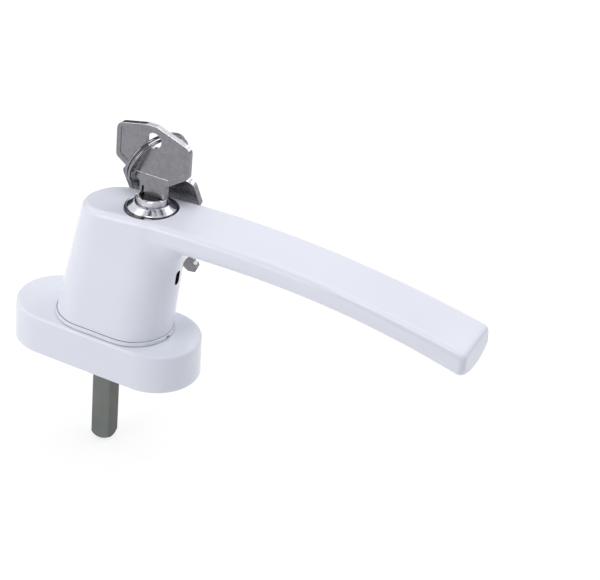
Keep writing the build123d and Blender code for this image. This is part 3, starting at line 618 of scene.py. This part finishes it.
def ring_mesh():
    centre, normal = Vector(RING_CENTRE), Vector(RING_NORMAL).normalized()
    across = normal.cross(Vector((0, 0, 1))).normalized()
    start = normal.cross(across)
    points = []
    angle = RING_CROSSING + RING_END
    while angle <= 720 - RING_CROSSING - RING_END:
        climb = max(-1, min(1, (angle - 360) / RING_CROSSING))
        height = RING_LIFT * math.sin(climb * math.pi / 2)
        a = math.radians(angle)
        out = (start * math.cos(a) + across * math.sin(a)) * RING_R
        points.append((centre + out + normal * height) / MM_PER_M)
        angle += RING_STEP
    return tube(points, RING_WIRE_R, RING_SIDES)


merged("ring_wire", [ring_mesh()], wire, "ring", "key_ring")


# Return spring, which shortens as the barrel is pushed in: a round wire coil that fills the box
# of the CAD spring

COIL_WIRE_R = 0.00025
COIL_TURNS = 4.5
COIL_STEPS = 110
COIL_SIDES = 10
coil_low, coil_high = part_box("return_spring")
coil_centre = (coil_low + coil_high) / 2


def coil_mesh():
    radius = (coil_high.y - coil_low.y) / 2 - COIL_WIRE_R
    rise = coil_high.z - coil_low.z - 2 * COIL_WIRE_R
    points = []
    for k in range(COIL_STEPS + 1):
        turn = 2 * math.pi * COIL_TURNS * k / COIL_STEPS
        along = Vector((math.cos(turn), math.sin(turn), 0)) * radius
        height = coil_low.z + COIL_WIRE_R + rise * k / COIL_STEPS
        points.append(Vector((coil_centre.x, coil_centre.y, height)) + along)
    return tube(points, COIL_WIRE_R, COIL_SIDES)


coil = merged("return_coil", [coil_mesh()], zinc, "handle", "return_spring")
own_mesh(coil)


# Bezel: turned round the lock axis from pairs of a radius and a height in millimetres

LATHE_STEPS = 128
DOME_STEPS = 10
BEZEL_CREASE_DEGREES = 50
BEZEL_FOOT = [(6.26, 61.9), (8.2, 61.9)]
BEZEL_DOME = [
    (8.3, 62.0), (8.28, 62.25), (7.9, 62.55), (7.3, 62.95), (6.7, 63.35),
    (6.1, 63.72), (5.75, 63.84), (5.5, 63.83), (5.3, 63.7), (5.2, 63.5),
]
BEZEL_BORE = [(5.2, 61.2), (6.26, 61.2)]


def lathe(profile):
    work = bmesh.new()
    rows = []
    for radius, height in profile:
        rows.append([
            work.verts.new((
                (LOCK_X + radius * math.cos(a)) / MM_PER_M,
                radius * math.sin(a) / MM_PER_M,
                height / MM_PER_M,
            ))
            for a in full_turn(LATHE_STEPS)
        ])
    for first, second in zip(rows, rows[1:] + rows[:1]):
        band(work, first, second)
    return as_mesh(work, "lathe")


def swept(points, steps):
    # Smooth profile through the given pairs, a Catmull-Rom spline
    out = []
    last = len(points) - 1
    for i in range(last):
        p0, p1, p2, p3 = (Vector(points[max(0, min(last, i + k))]) for k in (-1, 0, 1, 2))
        for k in range(steps):
            t = k / steps
            out.append(0.5 * (
                2 * p1 + (p2 - p0) * t + (2 * p0 - 5 * p1 + 4 * p2 - p3) * t ** 2
                + (3 * p1 - p0 - 3 * p2 + p3) * t ** 3
            ))
    out.append(Vector(points[-1]))
    return [(p.x, p.y) for p in out]


bezel = lathe(BEZEL_FOOT + swept(BEZEL_DOME, DOME_STEPS) + BEZEL_BORE)
merged(
    "bezel_dome", [bezel], chrome, "handle", "lock_bezel", BEZEL_CREASE_DEGREES
)


# Studio: pale floor, soft lamps, camera at the photograph's angle

FLOOR_HALF = 4
FLOOR_DROP = 0.0004
FLOOR_COLOURS = ((0.8, 0.8, 0.81), (0.78, 0.78, 0.79))
FLOOR_CLOUD_SCALE = 3
FLOOR_CLOUD_RANGE = (0.4, 0.6)
FLOOR_ROUGHNESS = 0.9
FLOOR_GLOW = 1.25
FLOOR_GLOW_SHARE = 0.6

WORLD_STRENGTH = 0.54
WORLD_COLOUR = (0.65, 0.658, 0.683, 1)
SOFTBOXES = 3
SOFTBOX_TURN = -0.262
SOFTBOX_EDGE = (-0.1, 0.4)
SOFTBOX_LEVELS = (0.07, 1.7)

LAMP_TARGET = Vector((0.04, 0, 0.03))

PHOTO_WIDTH = 600
FOCAL_PIXELS = 1539.945
SENSOR_MM = 36.0
CLIP_START = 0.01
CAMERA_MATRIX = Matrix((
    (0.89232, -0.30730, 0.33065, 0.231514),
    (0.44095, 0.43669, -0.78413, -0.382969),
    (0.09657, 0.84550, 0.52517, 0.306229),
    (0, 0, 0, 1),
))


def floor_material():
    # Pale floor that glows in part for the camera and in reflections, and keeps the shadow
    t = Tree("floor_pale")
    t.set(Roughness=FLOOR_ROUGHNESS)
    cloud = t.spread(t.noise(FLOOR_CLOUD_SCALE, detail=2), *FLOOR_CLOUD_RANGE)
    t.shade(t.blend(cloud, *FLOOR_COLOURS), "Base Color")
    path = t.add("ShaderNodeLightPath")
    seen = path.outputs["Is Camera Ray"]
    for kind in ("Is Glossy Ray", "Is Transmission Ray"):
        either = t.add("ShaderNodeMath", operation="MAXIMUM")
        t.join(seen, either.inputs[0])
        t.join(path.outputs[kind], either.inputs[1])
        seen = either.outputs[0]
    share = t.add("ShaderNodeMath", operation="MULTIPLY")
    share.inputs[1].default_value = FLOOR_GLOW_SHARE
    t.join(seen, share.inputs[0])
    glow = t.add("ShaderNodeEmission")
    glow.inputs["Strength"].default_value = FLOOR_GLOW
    mix = t.add("ShaderNodeMixShader")
    t.join(share.outputs[0], mix.inputs["Fac"])
    t.join(t.shader.outputs["BSDF"], mix.inputs[1])
    t.join(glow.outputs["Emission"], mix.inputs[2])
    t.join(mix.outputs["Shader"], t.nodes["Material Output"].inputs["Surface"])
    return t.material


floor_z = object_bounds()[0][2] - FLOOR_DROP
floor_corners = [(-1, -1), (1, -1), (1, 1), (-1, 1)]
floor_mesh = bpy.data.meshes.new("floor")
floor_mesh.from_pydata(
    [(x * FLOOR_HALF, y * FLOOR_HALF, floor_z) for x, y in floor_corners], [], [(0, 1, 2, 3)]
)
floor_mesh.materials.append(floor_material())
floor = in_scene("floor", floor_mesh)

world = bpy.data.worlds.new("studio")
bpy.context.scene.world = world
world.use_nodes = True
sky = world.node_tree
background = sky.nodes["Background"]
background.inputs["Strength"].default_value = WORLD_STRENGTH


def sky_node(kind, source=None, **values):
    node = sky.nodes.new(kind)
    for key, value in values.items():
        setattr(node, key, value)
    if source:
        sky.links.new(source, node.inputs[0])
    return node


# Softboxes and dark gaps round the object, seen in reflections only
direction = sky_node("ShaderNodeTexCoord").outputs["Generated"]
around = sky_node("ShaderNodeTexGradient", direction, gradient_type="RADIAL")
turn = sky_node("ShaderNodeMath", around.outputs["Fac"], operation="MULTIPLY_ADD")
turn.inputs[1].default_value = 2 * math.pi * SOFTBOXES
turn.inputs[2].default_value = SOFTBOX_TURN
wave = sky_node("ShaderNodeMath", turn.outputs[0], operation="SINE")
box = sky_node("ShaderNodeMapRange", wave.outputs[0])
box.inputs["From Min"].default_value, box.inputs["From Max"].default_value = SOFTBOX_EDGE
box.inputs["To Min"].default_value, box.inputs["To Max"].default_value = SOFTBOX_LEVELS
rays = sky_node("ShaderNodeLightPath")
mixed = sky_node("ShaderNodeMix", rays.outputs["Is Glossy Ray"], data_type="RGBA")
mixed.inputs["A"].default_value = WORLD_COLOUR
sky.links.new(box.outputs["Result"], mixed.inputs["B"])
sky.links.new(mixed.outputs["Result"], background.inputs["Color"])


def lamp(name, place, size, power):
    light = bpy.data.lights.new(name, "AREA")
    light.shape = "RECTANGLE"
    light.size = light.size_y = size
    light.energy = power
    item = in_scene(name, light)
    item.location = place
    item.rotation_euler = (LAMP_TARGET - Vector(place)).to_track_quat("-Z", "Y").to_euler()


# Name, place and width in metres, power in watts
lamp("front_left", (-0.43, -0.81, 0.37), 0.6, 3.3)
lamp("front_top", (0.09, -0.37, 0.93), 0.34, 1.6)
lamp("back_right", (0.29, 0.43, 0.9), 0.8, 1.7)
lamp("back_left", (-0.56, 0.22, 0.8), 1.0, 3.3)
lamp("side_light", (0.67, 0.56, 0.57), 0.8, 2.4)

camera = bpy.data.cameras.new("camera")
camera.sensor_fit = "HORIZONTAL"
camera.sensor_width = SENSOR_MM
camera.lens = FOCAL_PIXELS / PHOTO_WIDTH * SENSOR_MM
camera.clip_start = CLIP_START
view = in_scene("camera", camera)
view.matrix_world = CAMERA_MATRIX
bpy.context.scene.camera = view
bpy.context.scene.view_settings.view_transform = "Standard"
